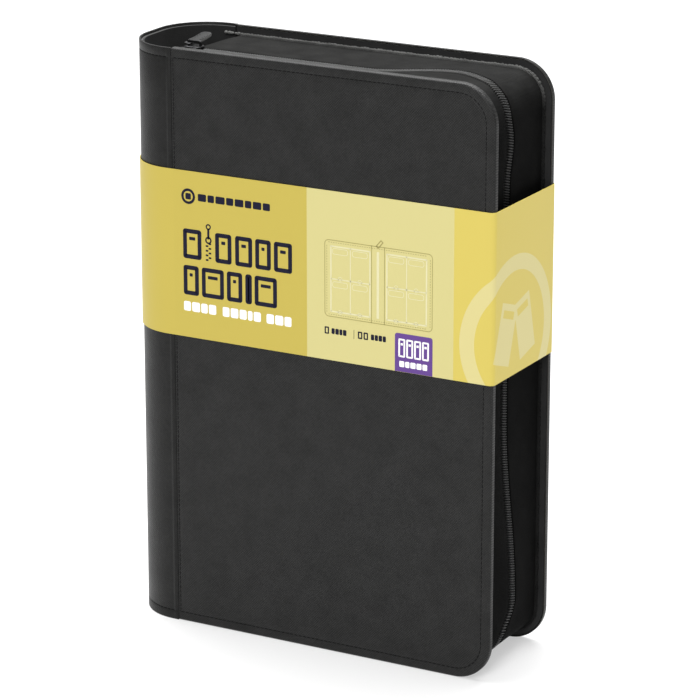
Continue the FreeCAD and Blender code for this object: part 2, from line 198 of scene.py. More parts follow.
spine = {
    "round": 30 * mm,
    "steps": 18,
    "wall": 1.2 * mm,
    "hemInset": 5.5 * mm,
    "hemHalf": 0.7 * mm,
    "hemDeep": 0.35 * mm,
    "beadFrom": 3.6 * mm,     # from the hinge line to the far side of the welt
    "beadRise": 0.5 * mm,
    "beadSteps": 8,
    "beadFade": 4 * mm,       # the welt dies away over this much at its ends
    "tuck": 0.25 * mm,        # the skin's edge dips under the cover's
    "levels": 12,
    "edgeRound": 0.3 * mm,
    "stitchSink": 0.6,
}


# Runs round the binder's edges, for stitches, zip teeth and puckers.

def edgeRun(inset, left, pitch):  # points along the bottom, up the fore-edge, back along the top
    radius = cover["corner"] - inset
    level = cover["foreEdge"] - cover["corner"] - left
    arc = math.pi / 2 * radius
    upright = cover["height"] - 2 * cover["corner"]
    total = 2 * (level + arc) + upright
    count = round(total / pitch)
    centreX = cover["foreEdge"] - cover["corner"]
    points = []
    for i in range(count):
        s = (i + 0.5) * total / count
        if s < level:
            points.append((left + s, inset, 0))
        elif s < level + arc:
            turn = (s - level) / radius
            points.append((centreX + radius * math.sin(turn),
                           cover["corner"] - radius * math.cos(turn), turn))
        elif s < level + arc + upright:
            points.append((cover["foreEdge"] - inset, cover["corner"] + s - level - arc,
                           math.pi / 2))
        elif s < level + 2 * arc + upright:
            turn = math.pi / 2 + (s - level - arc - upright) / radius
            points.append((centreX + radius * math.sin(turn),
                           cover["height"] - cover["corner"] - radius * math.cos(turn), turn))
        else:
            points.append((centreX - (s - level - 2 * arc - upright),
                           cover["height"] - inset, math.pi))
    return points


def edgePlaces(inset, left, pitch, depth):
    return [Matrix.Translation((x, depth, z)) @ Matrix.Rotation(-turn, 4, "Y")
            for x, z, turn in edgeRun(inset, left, pitch)]


def spinePlaces(level, pitch, flat):  # points round the spine's outside, from cover to cover
    radius = spine["round"]
    half = spineHigh.y
    centreX = spineLow.x + radius
    arc = math.pi / 2 * radius
    across = 2 * (half - radius)
    total = 2 * (flat + arc) + across
    count = round(total / pitch)
    spots = []
    for i in range(count):
        s = (i + 0.5) * total / count
        if s < flat:
            x, y, turn = centreX + flat - s, -half, 0
        elif s < flat + arc:
            turn = -(s - flat) / radius
            x = centreX + radius * math.sin(turn)
            y = radius - half - radius * math.cos(turn)
        elif s < flat + arc + across:
            x, y, turn = spineLow.x, radius - half + s - flat - arc, -math.pi / 2
        elif s < flat + 2 * arc + across:
            turn = -math.pi / 2 - (s - flat - arc - across) / radius
            x = centreX + radius * math.sin(turn)
            y = half - radius - radius * math.cos(turn)
        else:
            x, y, turn = centreX + s - flat - 2 * arc - across, half, -math.pi
        spots.append(Matrix.Translation((x, y, level)) @ Matrix.Rotation(turn, 4, "Z"))
    return spots


# Finishes: small node helpers first, then one maker for each kind of material.

def addNode(finish, kind, settings=None, **inputs):
    made = finish.node_tree.nodes.new(kind)
    for setting, value in (settings or {}).items():
        setattr(made, setting, value)
    for name, value in inputs.items():
        wanted = name.replace("_", " ")
        if wanted.isdigit() or wanted[1:].isdigit():
            socket = made.inputs[int(wanted.strip("i"))]
        else:
            socket = made.inputs[wanted]
        if isinstance(value, bpy.types.NodeSocket):
            finish.node_tree.links.new(value, socket)
        else:
            socket.default_value = value
    return made


def newFinish(name, tone, roughness, **sockets):
    finish = bpy.data.materials.new(name)
    finish.use_nodes = True
    shader = finish.node_tree.nodes["Principled BSDF"]
    shader.inputs["Base Color"].default_value = (*tone, 1)
    shader.inputs["Roughness"].default_value = roughness
    for socket, value in sockets.items():
        shader.inputs[socket.replace("_", " ")].default_value = value
    return finish


def shaderOf(finish):
    return finish.node_tree.nodes["Principled BSDF"]


def place(finish):
    return addNode(finish, "ShaderNodeTexCoord").outputs["Object"]


def turned(finish, vector, angles):
    degrees = tuple(math.radians(a) for a in angles)
    return addNode(finish, "ShaderNodeMapping", Vector=vector, Rotation=degrees).outputs[0]


def noise(finish, vector, size, detail=3):
    made = addNode(finish, "ShaderNodeTexNoise", Vector=vector, Scale=1 / size, Detail=detail,
                   Roughness=0.55)
    return made.outputs["Fac"]


def ribs(finish, vector, period, distortion=0.0):
    made = addNode(finish, "ShaderNodeTexWave", Vector=vector, Scale=math.pi / 10 / period,
                   Distortion=distortion, Detail=1.0)
    return made.outputs["Fac"]


def maths(finish, operation, first, second=0.0):
    made = addNode(finish, "ShaderNodeMath", {"operation": operation}, i0=first, i1=second)
    return made.outputs[0]


def spread(finish, factor, low, high):  # remaps a 0..1 factor to low..high
    made = addNode(finish, "ShaderNodeMapRange", Value=factor, To_Min=low, To_Max=high)
    return made.outputs[0]


def blendTones(finish, factor, first, second):
    tones = [tone if isinstance(tone, bpy.types.NodeSocket) else (*tone, 1)
             for tone in (first, second)]
    made = addNode(finish, "ShaderNodeMix", {"data_type": "RGBA"}, i0=factor,
                   i6=tones[0], i7=tones[1])
    return made.outputs[2]


def relief(finish, height, depth, strength=1.0):
    bump = addNode(finish, "ShaderNodeBump", Height=height, Distance=depth, Strength=strength)
    finish.node_tree.links.new(bump.outputs["Normal"], shaderOf(finish).inputs["Normal"])


def wire(finish, socket, name):
    finish.node_tree.links.new(socket, shaderOf(finish).inputs[name])


def makeLeather(name, dark, light, roughness, lineGap, lineShare, gloss):
    finish = newFinish(name, dark, roughness, Specular_IOR_Level=gloss)
    where = place(finish)
    down = ribs(finish, turned(finish, where, (0, 45, 0)), lineGap, 2.4)
    up = ribs(finish, turned(finish, where, (0, -45, 0)), lineGap, 2.4)
    pebble = noise(finish, where, 1.3 * mm, 4)
    lines = maths(finish, "MULTIPLY", maths(finish, "MULTIPLY", down, up), lineShare)
    grain = maths(finish, "ADD", lines, maths(finish, "MULTIPLY", pebble, 1 - lineShare))
    relief(finish, grain, 0.22 * mm)
    wear = maths(finish, "MULTIPLY", grain, spread(finish, noise(finish, where, 11 * mm), 0.7, 2.3))
    wire(finish, blendTones(finish, wear, dark, light), "Base Color")
    wire(finish, spread(finish, noise(finish, where, 14 * mm), roughness - 0.06,
                        roughness + 0.08), "Roughness")
    return finish


def paintedTopShare(finish, where):  # 0 on the upright sides, 1 along the top run, which is painted paler: painted light from above
    height = addNode(finish, "ShaderNodeSeparateXYZ", Vector=where).outputs["Z"]
    made = addNode(finish, "ShaderNodeMapRange", Value=height, From_Min=314 * mm, From_Max=334 * mm)
    return made.outputs[0]


def makeCloth(name, dark, light, thread, relieved, gloss=0.2, sheen=0.0, paintedTopLight=0):
    finish = newFinish(name, dark, 0.9, Specular_IOR_Level=gloss, Sheen_Weight=sheen)
    where = place(finish)
    warp = ribs(finish, turned(finish, where, (0, 45, 0)), thread, 0.6)
    weft = ribs(finish, turned(finish, where, (0, 0, 90)), thread, 0.6)
    weave = maths(finish, "MAXIMUM", warp, weft)
    fuzz = noise(finish, where, 0.5 * mm, 4)
    relief(finish, maths(finish, "ADD", weave, fuzz), relieved)
    patch = maths(finish, "MULTIPLY", fuzz, noise(finish, where, 12 * mm, 3))
    tone = blendTones(finish, spread(finish, patch, 0, 2), dark, light)
    # painted light: along the top run the same cloth tones are multiplied up, a painted highlight for
    # the light from above
    if paintedTopLight:
        top = blendTones(finish, spread(finish, patch, 0, 2), [c * paintedTopLight for c in dark],
                         [c * paintedTopLight for c in light])
        tone = blendTones(finish, paintedTopShare(finish, where), tone, top)
    wire(finish, tone, "Base Color")
    return finish


def makeGrained(name, dark, light, roughness, grainSize, relieved, paintedTopLight=0, **sockets):
    finish = newFinish(name, dark, roughness, **sockets)
    where = place(finish)
    grain = noise(finish, where, grainSize, 4)
    relief(finish, grain, relieved)
    tone = blendTones(finish, grain, dark, light)
    # painted light: along the top run the same tones are multiplied up, a painted highlight for the
    # light from above
    if paintedTopLight:
        top = blendTones(finish, grain, [c * paintedTopLight for c in dark], [c * paintedTopLight for c in light])
        tone = blendTones(finish, paintedTopShare(finish, where), tone, top)
    wire(finish, tone, "Base Color")
    wire(finish, spread(finish, noise(finish, where, 6 * grainSize), roughness - 0.05,
                        roughness + 0.05), "Roughness")
    return finish


coverLeather = makeLeather("coverLeather", (0.002, 0.002, 0.002), (0.028, 0.028, 0.0275),
                           0.42, 1.05 * mm, 0.5, 0.17)
spineLeather = makeLeather("spineLeather", (0.002, 0.002, 0.002), (0.018, 0.018, 0.0175),
                           0.4, 0.9 * mm, 0.35, 0.16)
# the gusset's top run is painted three times paler: painted light from above
gussetCloth = makeCloth("gussetCloth", (0.0015, 0.0015, 0.0015), (0.006, 0.006, 0.0058),
                        0.7 * mm, 0.12 * mm, 0.05, paintedTopLight=3)
liningCloth = makeCloth("liningCloth", (0.010, 0.010, 0.010), (0.024, 0.024, 0.024),
                        0.9 * mm, 0.08 * mm, 0.3)
zipTapeCloth = makeCloth("zipTapeCloth", (0.006, 0.006, 0.006), (0.016, 0.016, 0.016),
                         0.5 * mm, 0.08 * mm)
# the binding's top run is painted ten times paler: painted highlight from above
seamBinding = makeCloth("seamBinding", (0.003, 0.003, 0.003), (0.016, 0.016, 0.0155),
                        1.1 * mm, 0.25 * mm, 0.1, paintedTopLight=10)
# the coil's top run is painted four times paler: painted highlight from above
coilNylon = makeGrained("coilNylon", (0.008, 0.008, 0.008), (0.018, 0.018, 0.0175), 0.42,
                        0.6 * mm, 0.02 * mm, 4, Specular_IOR_Level=0.3)
blackMetal = makeGrained("blackMetal", (0.03, 0.03, 0.032), (0.06, 0.06, 0.062), 0.3,
                         0.3 * mm, 0.01 * mm, Metallic=0.9)
strapLeather = makeLeather("strapLeather", (0.004, 0.004, 0.004), (0.014, 0.014, 0.014),
                           0.5, 0.9 * mm, 0.2, 0.15)
# the strap's cut edges are painted pale grey, a painted highlight where the light from above catches
# them
strapEdge = makeGrained("strapEdge", (0.09, 0.09, 0.088), (0.2, 0.2, 0.195), 0.7,
                        0.4 * mm, 0.05 * mm)
greyBoard = makeGrained("greyBoard", (0.16, 0.15, 0.13), (0.26, 0.25, 0.22), 0.85,
                        0.8 * mm, 0.08 * mm)
coreSheet = makeGrained("coreSheet", (0.02, 0.02, 0.02), (0.035, 0.035, 0.034), 0.6,
                        0.7 * mm, 0.03 * mm)
pageSheet = makeGrained("pageSheet", (0.011, 0.011, 0.012), (0.02, 0.02, 0.021), 0.5,
                        0.5 * mm, 0.03 * mm)
pocketFilm = makeGrained("pocketFilm", (0.55, 0.57, 0.6), (0.62, 0.64, 0.66), 0.12,
                         5 * mm, 0.03 * mm, Alpha=0.16)
weldedFilm = makeGrained("weldedFilm", (0.3, 0.31, 0.33), (0.42, 0.43, 0.45), 0.25,
                         0.6 * mm, 0.03 * mm, Alpha=0.45)
seamThread = makeGrained("seamThread", (0.002, 0.002, 0.002), (0.004, 0.004, 0.004), 0.7,
                         0.25 * mm, 0.05 * mm, Specular_IOR_Level=0.1)
navyInk = makeGrained("navyInk", (0.008, 0.008, 0.022), (0.012, 0.012, 0.03), 0.6,
                      0.5 * mm, 0.005 * mm, Specular_IOR_Level=0.12)
whiteInk = makeGrained("whiteInk", (0.9, 0.9, 0.88), (0.97, 0.97, 0.95), 0.45,
                       0.5 * mm, 0.005 * mm)
violetInk = makeGrained("violetInk", (0.115, 0.05, 0.24), (0.13, 0.06, 0.27), 0.5,
                        0.5 * mm, 0.005 * mm, Specular_IOR_Level=0.2)
creamInk = makeGrained("creamInk", (0.66, 0.62, 0.36), (0.71, 0.67, 0.4), 0.45,
                       0.5 * mm, 0.005 * mm)
oliveInk = makeGrained("oliveInk", (0.3, 0.26, 0.07), (0.35, 0.3, 0.09), 0.45,
                       0.5 * mm, 0.005 * mm)
print("finishes ready")


def makeCover(side, sign):
    low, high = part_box(side + "_skin")
    outside = high.y if sign > 0 else low.y
    leather = addBlock(side + "CoverLeather", low, high)
    selectParts(leather, "EDGE", lambda a, b: min(a.x, b.x) > high.x - near
                and abs(a.y - b.y) > near)
    bevelPicked(cover["corner"], cover["cornerSteps"])
    selectParts(leather, "EDGE", lambda a, b: max(abs(a.y - outside), abs(b.y - outside)) < near
                and max(a.x, b.x) > low.x + near)
    bevelPicked(cover["rimRound"], cover["rimSteps"])
    selectParts(leather, "FACE", lambda c, n: n.y * sign < -0.99)
    bpy.ops.mesh.inset(thickness=cover["turnIn"])
    bpy.ops.transform.translate(value=(0, sign * (high.y - low.y - cover["turnIn"]), 0))
    selectParts(leather, "FACE", lambda c, n: n.y * sign > 0.99 and abs(c.y - outside) < near)
    bpy.ops.mesh.inset(thickness=cover["rimToSeam"])
    hingeSide = low.x + cover["rimToSeam"]
    selectParts(leather, "VERT", lambda v: abs(v.x - hingeSide) < near
                and abs(v.y - outside) < near)
    bpy.ops.transform.translate(value=(cover["hingeToSeam"] - cover["rimToSeam"], 0, 0))
    middle = (low + high) / 2
    selectParts(leather, "FACE", lambda c, n: n.y * sign > 0.99 and abs(c.y - outside) < near
                and middle.x < c.x < high.x - cover["panelAcross"]
                and abs(c.z - middle.z) < cover["panelUp"])
    bpy.ops.mesh.inset(thickness=cover["seamHalf"], depth=-cover["seamDeep"])
    bpy.ops.mesh.inset(thickness=cover["seamHalf"], depth=cover["seamDeep"])
    bpy.ops.mesh.inset(thickness=cover["puffWidth"], depth=cover["puffRise"])
    bpy.ops.mesh.inset(thickness=2 * cover["puffWidth"], depth=cover["puffRise"] / 3)
    leaveEdit()
    smoothShade(leather)
    dress(leather, coverLeather, side, "cover_leatherette", side + "_skin")


stitch = {
    "pitch": 2.8 * mm,
    "length": 1.75 * mm,
    "width": 0.8 * mm,
    "height": 0.4 * mm,
    "endTaper": (1, 0.3, 0.55),
    "round": 0.14 * mm,
    "proud": 0.1 * mm,        # how far a stitch's middle stands above the channel's floor
}


def newStitch():  # one thread loop along X, its outside towards -Y
    half = stitch["length"] / 2
    thick = stitch["width"] / 2
    unit = addBlock("stitchUnit", (-half, -stitch["height"] / 2, -thick),
                    (half, stitch["height"] / 2, thick))
    selectParts(unit, "VERT", lambda v: abs(v.x) > half - near)
    bpy.ops.transform.resize(value=stitch["endTaper"])
    bevelAll(unit, stitch["round"], 2)
    smoothShade(unit, 60)
    return unit


def sewCover(side, sign):
    low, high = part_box(side + "_skin")
    outside = high.y if sign > 0 else low.y
    depth = outside - sign * (cover["seamDeep"] - stitch["proud"])
    seamLeft = low.x + cover["hingeToSeam"] + cover["seamHalf"]
    spots = edgePlaces(cover["seamInset"], seamLeft, stitch["pitch"], depth)
    upright = cover["height"] - 2 * cover["seamInset"]
    count = round(upright / stitch["pitch"])
    for i in range(count):
        z = cover["seamInset"] + (i + 0.5) * upright / count
        spots.append(Matrix.Translation((seamLeft, depth, z)) @ Matrix.Rotation(math.pi / 2, 4, "Y"))
    seam = copyTo(newStitch(), side + "CoverStitches", spots)
    dress(seam, seamThread, side, "cover_leatherette")


for side, sign in (("front", -1), ("rear", 1)):
    makeCover(side, sign)
    sewCover(side, sign)
print("covers ready")


def weltAt(spot):  # the raised welt beside the hinge line
    share = (spineHigh.x - spot.x) / spine["beadFrom"]
    if not 0 <= share <= 1:
        return Vector((0, 0, 0))
    ends = min(1, min(spot.z, spineHigh.z - spot.z) / spine["beadFade"])
    rise = math.sin(math.pi * share) ** 2 * spine["beadRise"] * ends - spine["tuck"] * (share < 0.01)
    return Vector((0, math.copysign(rise, spot.y), 0))


def hemAt(spot):  # the sewn channels near the spine's ends
    inwards = Vector((0, 0, 0))
    for edge, sign in ((spineLow.z, 1), (spineHigh.z, -1)):
        if abs(spot.z - edge - sign * spine["hemInset"]) < near:
            side = Vector((min(0, spot.x - spineLow.x - spine["round"]), spot.y, 0))
            if side.x < 0:
                flat = spineHigh.y - spine["round"]
                side.y = math.copysign(max(0, abs(spot.y) - flat), spot.y)
            inwards -= side.normalized() * spine["hemDeep"]
    return inwards


def makeSpine():
    leather = addBlock("spineLeather", spineLow, spineHigh)
    selectParts(leather, "EDGE", lambda a, b: max(a.x, b.x) < spineLow.x + near
                and abs(a.z - b.z) > near)
    bevelPicked(spine["round"], spine["steps"])
    selectParts(leather, "FACE", lambda c, n: abs(n.z) > 0.99 or n.x > 0.99)
    bpy.ops.mesh.delete(type="FACE")
    leaveEdit()
    for edge, inwards in ((spineLow.z, 1), (spineHigh.z, -1)):
        for i in (-1, 0, 1):
            level = edge + inwards * (spine["hemInset"] + i * spine["hemHalf"])
            cutLevel(leather, (0, 0, level), (0, 0, 1))
    for i in range(1, spine["levels"]):
        cutLevel(leather, (0, 0, spineHigh.z * i / spine["levels"]), (0, 0, 1))
    for i in range(spine["beadSteps"] + 1):
        cutLevel(leather, (spineHigh.x - spine["beadFrom"] * i / spine["beadSteps"], 0, 0), (1, 0, 0))
    for vertex in leather.data.vertices:
        vertex.co = vertex.co + weltAt(vertex.co) + hemAt(vertex.co)
    applyModifier(leather, "SOLIDIFY", thickness=spine["wall"], offset=-1, use_even_offset=True)
    bevelAll(leather, spine["edgeRound"], 2, 60)
    smoothShade(leather, 40)
    dress(leather, spineLeather, "spine", "spine_leatherette", "spine_skin")
    spots = []
    flat = spineHigh.x - spineLow.x - spine["round"]
    for level in (spineLow.z + spine["hemInset"], spineHigh.z - spine["hemInset"]):
        spots += spinePlaces(level, stitch["pitch"], flat)
    sunk = Matrix.Translation((0, spine["hemDeep"] * spine["stitchSink"], 0))
    hem = copyTo(newStitch(), "spineHemStitches", [spot @ sunk for spot in spots])
    dress(hem, seamThread, "spine", "spine_leatherette")


makeSpine()
print("spine ready")


zipLine = {
    "middle": (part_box("front_zip_coil")[1].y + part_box("rear_zip_coil")[0].y) / 2,
    "insetTape": 6.7 * mm,
    "insetCoil": 5.2 * mm,
    "insetGusset": 5.5 * mm,
    "toothPitch": 1.5 * mm,
    "toothWidth": 0.72 * mm,
    "toothReach": 3.5 * mm,
    "toothHeight": 1.5 * mm,
    "toothSlant": 14,
    "toothRound": 0.24 * mm,
    "tapeThick": 0.6 * mm,
    "gussetThick": 1.2 * mm,
    "gussetRound": 0.35 * mm,
    "gussetWaves": 0.28 * mm,
    "waveLengths": (17 * mm, 7.3 * mm),
    "waveSlant": 210,
    "gussetLeft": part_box("rear_gusset")[0].x,
    "gussetSlant": 5 * mm,    # how far its spine end is cut back towards the zip
    "cutsAlong": 70,
    "cutsAcross": 7,
}

sway = {"rearwards": 0.5, "rearwardsUpright": 0.1, "outAlong": 0.135, "outUpright": 0.22}

# Where the soft gusset lets the zip bow towards the rear cover: how far along the run from the
# middle of the fore-edge, how far it reaches towards and away from that middle, and how much.
bows = (
    {"at": 192 * mm, "before": 34 * mm, "after": 54 * mm, "amount": 18 * mm},
    {"at": 134 * mm, "before": 26 * mm, "after": 20 * mm, "amount": 4 * mm},
    {"at": -132 * mm, "before": 24 * mm, "after": 110 * mm, "amount": 13 * mm},
)


def alongZip(x, z):
    cornerX = cover["foreEdge"] - cover["corner"]
    middle = cover["height"] / 2
    upper = z > middle
    cornerZ = cover["height"] - cover["corner"] if upper else cover["corner"]
    radius = cover["corner"] - zipLine["insetCoil"]
    toCorner = middle - cover["corner"]
    if x <= cornerX:
        along = toCorner + math.pi / 2 * radius + cornerX - x
    elif abs(z - middle) > toCorner:
        along = toCorner + radius * math.atan2(abs(z - cornerZ), x - cornerX)
    else:
        return z - middle
    return along if upper else -along


def bowAt(along):
    amount = 0
    for bow in bows:
        reach = bow["after"] if along > bow["at"] else bow["before"]
        share = abs(along - bow["at"]) / reach
        if share < 1:
            amount += bow["amount"] * (0.5 + 0.5 * math.cos(math.pi * share))
    return amount


def outwardsAt(x, z):
    cornerX = cover["foreEdge"] - cover["corner"]
    middle = cover["height"] / 2
    toCorner = middle - cover["corner"]
    return Vector((max(0, x - cornerX), 0,
                   math.copysign(max(0, abs(z - middle) - toCorner), z - middle))).normalized()


def swayZip(piece, shareOf):  # moves a zip piece's points with the bow of the zip
    for vertex in piece.data.vertices:
        x, y, z = vertex.co
        amount = bowAt(alongZip(x, z)) * shareOf(y)
        level = abs(outwardsAt(x, z).z)
        rearwards = amount * (sway["rearwards"] + sway["rearwardsUpright"] * (1 - level))
        outwards = amount * (sway["outAlong"] * level + sway["outUpright"] * (1 - level))
        vertex.co = vertex.co + Vector((0, rearwards, 0)) + outwardsAt(x, z) * outwards


def addStrip(name, nearY, farY, inset, left, waves):
    strip = addBlock(name, (left, nearY, inset),
                     (cover["foreEdge"] - inset, farY, cover["height"] - inset))
    right = cover["foreEdge"] - inset
    selectParts(strip, "EDGE", lambda a, b: min(a.x, b.x) > right - near
                and abs(a.y - b.y) > near)
    bevelPicked(cover["corner"] - inset, cover["cornerSteps"])
    selectParts(strip, "FACE", lambda c, n: abs(n.y) > 0.99 or n.x < -0.99)
    bpy.ops.mesh.delete(type="FACE")
    selectParts(strip, "EDGE", lambda a, b: (a - b).length > 60 * mm and abs(a.y - b.y) < near)
    bpy.ops.mesh.subdivide(number_cuts=zipLine["cutsAlong"])
    selectParts(strip, "EDGE", lambda a, b: abs(a.y - b.y) > near)
    bpy.ops.mesh.subdivide(number_cuts=zipLine["cutsAcross"])
    leaveEdit()
    span = farY - nearY
    long, short = zipLine["waveLengths"]
    for vertex in strip.data.vertices:
        x, y, z = vertex.co
        share = math.sin(math.pi * (y - nearY) / span)
        along = alongZip(x, z)
        ripple = math.sin(along / long) + 0.6 * math.sin(along / short + y * zipLine["waveSlant"])
        vertex.co = vertex.co + outwardsAt(x, z) * waves * share * ripple
    return strip


def makeGusset(side, sign):
    low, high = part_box(side + "_gusset")
    strip = addStrip(side + "GussetCloth", low.y, high.y, zipLine["insetGusset"],
                     zipLine["gussetLeft"], zipLine["gussetWaves"])
    seam, edge = (low.y, high.y) if sign < 0 else (high.y, low.y)
    for vertex in strip.data.vertices:  # the end by the spine is cut on a slant
        if vertex.co.x < zipLine["gussetLeft"] + near:
            vertex.co.x -= zipLine["gussetSlant"] * (vertex.co.y - seam) / (edge - seam)
    swayZip(strip, lambda y: (y - seam) / (edge - seam))
    applyModifier(strip, "SOLIDIFY", thickness=zipLine["gussetThick"], offset=-1)
    bevelAll(strip, zipLine["gussetRound"], 2, 50)
    smoothShade(strip, 50)
    dress(strip, gussetCloth, side, "gusset_cloth", side + "_gusset")


def makeTape(side):
    low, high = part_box(side + "_zip_tape")
    tape = addStrip(side + "ZipTape", low.y, high.y, zipLine["insetTape"], low.x, 0)
    swayZip(tape, lambda y: 1)
    applyModifier(tape, "SOLIDIFY", thickness=zipLine["tapeThick"], offset=-1)
    smoothShade(tape, 50)
    dress(tape, zipTapeCloth, side, "zip_tape", side + "_zip_tape")


def makeCoil(side, sign):
    low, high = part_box(side + "_zip_coil")
    reach = zipLine["toothReach"]
    width = zipLine["toothWidth"] / 2
    tooth = addBlock("toothUnit", (-width, -reach / 2, 0), (width, reach / 2, zipLine["toothHeight"]))
    selectParts(tooth, "FACE", lambda c, n: n.z < -0.9)
    bpy.ops.transform.resize(value=(0.75, 0.86, 1))
    bevelAll(tooth, zipLine["toothRound"], 2)
    tooth.data.transform(Matrix.Rotation(math.radians(zipLine["toothSlant"]), 4, "Z"))
    smoothShade(tooth, 60)
    outer = low.y if sign < 0 else high.y
    middleY = outer - sign * reach / 2
    spots = edgePlaces(zipLine["insetCoil"], low.x, zipLine["toothPitch"], middleY)
    if sign > 0:  # half a pitch on, so that the two rows mesh
        half = Matrix.Translation((zipLine["toothPitch"] / 2, 0, 0))
        spots = [spot @ half for spot in spots]
    coil = copyTo(tooth, side + "ZipCoil", spots)
    swayZip(coil, lambda y: 1)
    dress(coil, coilNylon, side, "zip_coil", side + "_zip_coil")


puckers = {
    "radius": 1 * mm,
    "inset": 4.7 * mm,
    "past": 11 * mm,          # how far the row runs on beyond the binding's end
    "pitch": 2.1 * mm,
    "long": (1.0, 1.5),
    "deep": (0.85, 1.15),
    "tall": (0.6, 1.15),
    "lean": 0.5,
    "strayAlong": 0.3 * mm,
    "strayDeep": 0.25 * mm,
    "seeds": {"front": 7, "rear": 11},
}


def makePuckers(side):
    low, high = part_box(side + "_gusset_binding")
    clearSelection()
    bpy.ops.mesh.primitive_ico_sphere_add(subdivisions=2, radius=puckers["radius"])
    unit = settle("puckerUnit")
    smoothShade(unit, 80)
    dice = random.Random(puckers["seeds"][side])
    along, deep = puckers["strayAlong"], puckers["strayDeep"]
    spots = []
    for spot in edgePlaces(puckers["inset"], low.x - puckers["past"], puckers["pitch"],
                           (low.y + high.y) / 2):
        size = Matrix.Diagonal((dice.uniform(*puckers["long"]), dice.uniform(*puckers["deep"]),
                                dice.uniform(*puckers["tall"]), 1))
        lean = Matrix.Rotation(dice.uniform(-puckers["lean"], puckers["lean"]), 4, "Z")
        step = Matrix.Translation((dice.uniform(-along, along), dice.uniform(-deep, deep), 0))
        spots.append(spot @ step @ lean @ size)
    row = copyTo(unit, side + "BindingPuckers", spots)
    dress(row, seamBinding, side, "binding_tape")


for side, sign in (("front", -1), ("rear", 1)):
    makeGusset(side, sign)
    makeTape(side)
    makeCoil(side, sign)
    makePuckers(side)
print("zip and gussets ready")


slider = {
    "wall": 1.2 * mm,
    "edge": 0.3 * mm,
    "plateTaper": 0.82,
    "plateCorner": 2.2 * mm,
    "plateSteps": 6,
    "postFrom": 0.2 * mm,
    "postTo": 2 * mm,
    "postHalf": 0.6 * mm,
    "railFrom": 2.5 * mm,
    "railTo": 1.5 * mm,
    "railIn": 0.5 * mm,
    "railHalf": 0.45 * mm,
    "railDeep": 0.9 * mm,
    "softEdge": 0.2 * mm,
    "bailEdge": 0.28 * mm,
    "bailSteps": 5,
}


def makeSlider():
    low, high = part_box("zip_slider")
    wall = slider["wall"]
    parts = []
    for level in (low.z, high.z - wall):
        plate = addBlock("plate", (low.x, low.y, level), (high.x, high.y, level + wall))
        selectParts(plate, "VERT", lambda v: v.x > high.x - near)
        bpy.ops.transform.resize(value=(1, slider["plateTaper"], 1), center_override=(
            high.x, (low.y + high.y) / 2, level))
        selectParts(plate, "EDGE", lambda a, b: abs(a.z - b.z) > near)
        bevelPicked(slider["plateCorner"], slider["plateSteps"])
        bevelAll(plate, slider["edge"], 2, 50)
        parts.append(plate)
    middle = (low.y + high.y) / 2
    half = slider["postHalf"]
    post = addBlock("post", (low.x + slider["postFrom"], middle - half, low.z + wall / 2),
                    (low.x + slider["postTo"], middle + half, high.z - wall / 2))
    bevelAll(post, slider["softEdge"], 2)
    parts.append(post)
    half = slider["railHalf"]
    for edge in (-1, 1):  # turned-down flanges that hold the coils in
        y = middle + edge * (high.y - middle - slider["railIn"])
        rail = addBlock("rail",
                        (low.x + slider["railFrom"], y - half, high.z - wall - slider["railDeep"]),
                        (high.x - slider["railTo"], y + half, high.z - wall / 2))
        bevelAll(rail, slider["softEdge"], 2)
        parts.append(rail)
    body = joinPieces(parts, "sliderBody")
    smoothShade(body, 40)
    dress(body, blackMetal, "slider", "black_metal", "zip_slider")


def makeBail():  # the loop on the slider's back that the pull's ring hangs in
    low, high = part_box("slider_bail")
    wall = slider["wall"]
    bail = addBlock("sliderBail", (low.x, low.y, low.z - wall), high)
    selectParts(bail, "EDGE", lambda a, b: min(a.z, b.z) > high.z - near and abs(a.y - b.y) > near)
    bevelPicked(wall, slider["bailSteps"])
    selectParts(bail, "FACE", lambda c, n: abs(n.y) > 0.99)
    bpy.ops.mesh.inset(thickness=wall)
    bpy.ops.mesh.bridge_edge_loops()
    bevelAll(bail, slider["bailEdge"], 3, 50)
    smoothShade(bail, 40)
    dress(bail, blackMetal, "slider", "black_metal", "slider_bail")


pull = {
    "ringRadius": 2.1 * mm,
    "ringWire": 0.48 * mm,
    "ringSteps": 28,
    "wireSteps": 10,
    "legIn": 0.6 * mm,        # the ring hangs in the bail's near leg
    "armFrom": 1.8 * mm,
    "armHalf": 0.8 * mm,
    "armRound": 0.35 * mm,
    "barIn": 0.5 * mm,
    "barRadius": 0.5 * mm,
    "barLength": 5.6 * mm,
    "barSteps": 20,
    "barEdge": 0.15 * mm,
    "strapRound": 3 * mm,
    "strapSteps": 8,
    "strapEdge": 0.25 * mm,
    "bowFrom": 3 * mm,        # the strap bows up a little from here to its free end
    "bowRise": 1.6 * mm,
    "stitchIn": 1.1 * mm,
    "stitchFrom": 3.4 * mm,
    "stitchGap": 2.6 * mm,
    "stitches": 4,
}


